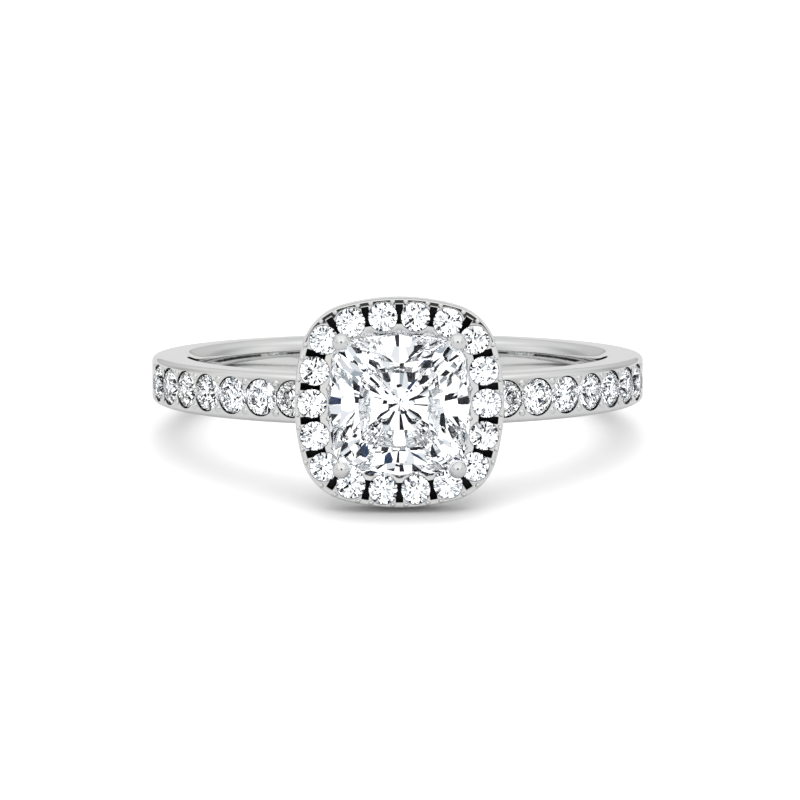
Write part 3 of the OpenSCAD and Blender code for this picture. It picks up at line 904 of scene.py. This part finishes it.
def ramp(tree, value, stops, kind="EASE"):
    """Brightness or colour that follows a value from 0 to 1."""
    node = put(tree, "ShaderNodeValToRGB", {0: value})
    node.color_ramp.interpolation = kind
    for spot, _ in stops[2:]:
        node.color_ramp.elements.new(spot)
    for element, (spot, colour) in zip(node.color_ramp.elements, stops):
        element.position = spot
        element.color = (*colour, 1)
    return node.outputs[0]


def strip_pattern():
    """Dark, blue and pale strips with gaps: hung in the tent, painted on the paper for the stones."""
    group, given = effect(
        "strip pattern", {"Place": "Vector", "Scale": "Float", "Gaps": "Float"}, {"Colour": "Color"}
    )
    cells = put(group, "ShaderNodeTexVoronoi", {"Vector": given["Place"], "Scale": given["Scale"]})
    pick = put(group, "ShaderNodeSeparateColor", {0: cells.outputs["Color"]}).outputs[0]
    colour = ramp(group, work_out(group, "ADD", pick, given["Gaps"]), STRIPS, "CONSTANT")
    put(group, "NodeGroupOutput", {"Colour": colour})
    return group


strips_group = strip_pattern()
sheet = paper.node_tree
sheet_end = 12 * MM
painted_dark_start = 15 * MM
painted_paper_in_metal = 0.51
painted_dark_reflection = 0.004
seen = put(sheet, "ShaderNodeLightPath").outputs
# Painted reflection: the paper is painted darker in the metal, and near-black beyond a small sheet
# where the metal mirrors itself
twice = work_out(sheet, "GREATER_THAN", seen["Glossy Depth"], 1.5)
no_stone = work_out(sheet, "LESS_THAN", seen["Transmission Depth"], 0.5)
beyond = spread(sheet, length(sheet, place), sheet_end, painted_dark_start, 0.0, 1.0)
painted_dark_share = work_out(sheet, "MULTIPLY", work_out(sheet, "MULTIPLY", twice, no_stone), beyond)
in_metal = mixed(sheet, painted_dark_share, (*grey(painted_paper_in_metal), 1), (*grey(painted_dark_reflection), 1))
# Painted reflection: in the stones the paper shows a painted pattern of strips
painted_in_stones = put(sheet, "ShaderNodeGroup", {
    "Place": in_mm(sheet, place, (1, 1, 1)), "Scale": 0.85, "Gaps": 0.12
}, node_tree=strips_group).outputs[0]
shade = shader.inputs["Base Color"].links[0].from_socket
shade = mixed(sheet, seen["Is Glossy Ray"], shade, in_metal)
shade = mixed(sheet, seen["Is Transmission Ray"], shade, painted_in_stones)
sheet.links.new(shade, shader.inputs["Base Color"])
floor.data.materials.append(paper)

# Lens: a long one, in front of the ring and a bit left of it. It is aimed so that the middle of
# the finger hole lies where the photo has it.
photo_size = 800
ring_x, ring_y = 397.5, 376.0
pixels_per_mm = 24.5
lens_above = rest_tilt + math.radians(5.8)
lens_left = math.radians(0.4)
# In metres
lens_far = 0.3
sensor = 0.036
camera_data = bpy.data.cameras.new("lens")
camera = bpy.data.objects.new("lens", camera_data)
bpy.context.scene.collection.objects.link(camera)
bpy.context.scene.camera = camera
camera_data.lens = pixels_per_mm / MM * lens_far / photo_size * sensor / MM
camera_data.clip_start = 0.01
camera.rotation_euler = (math.pi / 2 - lens_above, 0, -lens_left)
camera_right, camera_up, camera_back = camera.rotation_euler.to_matrix().transposed()
aim = camera_right * (photo_size / 2 - ring_x) - camera_up * (photo_size / 2 - ring_y)
camera.location = aim * MM / pixels_per_mm + camera_back * lens_far

# Light tent: grey walls and a bright top round the table, with dark strips hung outside them. The
# metal picks up the walls and the slit that the lens looks in through, and only the stones bend
# enough of the light to pick up the strips.
world = bpy.data.worlds.new("light_tent")
bpy.context.scene.world = world
world.use_nodes = True
tent = world.node_tree
toward = put(tent, "ShaderNodeTexCoord").outputs["Generated"]
aside, back, up = put(tent, "ShaderNodeSeparateXYZ", {0: toward}).outputs
rays = put(tent, "ShaderNodeLightPath").outputs


def tinted(one, by):
    return mixed(tent, 1.0, one, by, "MULTIPLY")


def within(value, low, high):
    """1 where a value lies between two others, 0 elsewhere."""
    above = work_out(tent, "GREATER_THAN", value, low)
    return work_out(tent, "MULTIPLY", above, work_out(tent, "LESS_THAN", value, high))


# The stones see the strips, and the lens as a small black spot among them
strip_light = 1.6
lens_spot_r = math.radians(3)
strips = put(tent, "ShaderNodeGroup", {
    "Place": toward, "Scale": 14.0, "Gaps": 0.0
}, node_tree=strips_group).outputs[0]
strips = tinted(strips, (*grey(strip_light), 1))
toward_lens = (0, -math.cos(lens_above), math.sin(lens_above))
near_lens = put(tent, "ShaderNodeVectorMath", {0: toward, 1: toward_lens}, operation="DOT_PRODUCT")
lens_spot = work_out(tent, "GREATER_THAN", near_lens.outputs["Value"], math.cos(lens_spot_r))
seen_in_stones = mixed(tent, lens_spot, strips, (*BLACK_STRIP, 1))

# The metal sees the walls, a shade darker in the tent's corners and behind the ring. Where it
# mirrors itself, it sees the dark table below them.
walls = ramp(tent, up, [
    (0.0, grey(0.6)), (0.06, grey(0.82)), (0.25, grey(0.86)), (0.5, grey(1.05)), (1.0, grey(0.95))
])
off_middle = work_out(tent, "ABSOLUTE", aside)
corners = ramp(tent, off_middle, [(0.5, grey(1.0)), (0.8, grey(0.72)), (1.0, grey(0.9))])
behind = ramp(tent, back, [(0.1, grey(1.0)), (0.7, grey(0.7))])
table_edge = ramp(tent, up, [(0.12, grey(0.04)), (0.15, grey(1.0))])
mirrored_twice = work_out(tent, "GREATER_THAN", rays["Glossy Depth"], 1.5)
table_below = mixed(tent, mirrored_twice, (*grey(1.0), 1), table_edge)
for shading in (corners, behind, table_below):
    walls = tinted(walls, shading)
# The slit is in front only, and upright
slit_side = 0.18
slit_foot = 0.12
slit_top = 0.48
slit_dark = 0.05
slit = within(aside, -slit_side, slit_side)
slit = work_out(tent, "MULTIPLY", slit, work_out(tent, "LESS_THAN", back, 0.0))
slit = work_out(tent, "MULTIPLY", slit, within(up, slit_foot, slit_top))
seen_in_metal = mixed(tent, slit, walls, (*grey(slit_dark), 1))

# Most of the light on the paper comes from the tent's bright top
roof = ramp(tent, up, [(0.72, grey(1.0)), (0.86, grey(2.3))])
light = mixed(tent, rays["Is Glossy Ray"], roof, seen_in_metal)
light = mixed(tent, rays["Is Transmission Ray"], light, seen_in_stones)
tent.links.new(light, tent.nodes["Background"].inputs["Color"])
# Light turns many times inside a cut stone before it comes out
most_bounces = 32
light_paths = bpy.context.scene.cycles
light_paths.max_bounces = most_bounces
light_paths.transmission_bounces = most_bounces
light_paths.glossy_bounces = most_bounces
bpy.context.scene.view_settings.view_transform = "Standard"
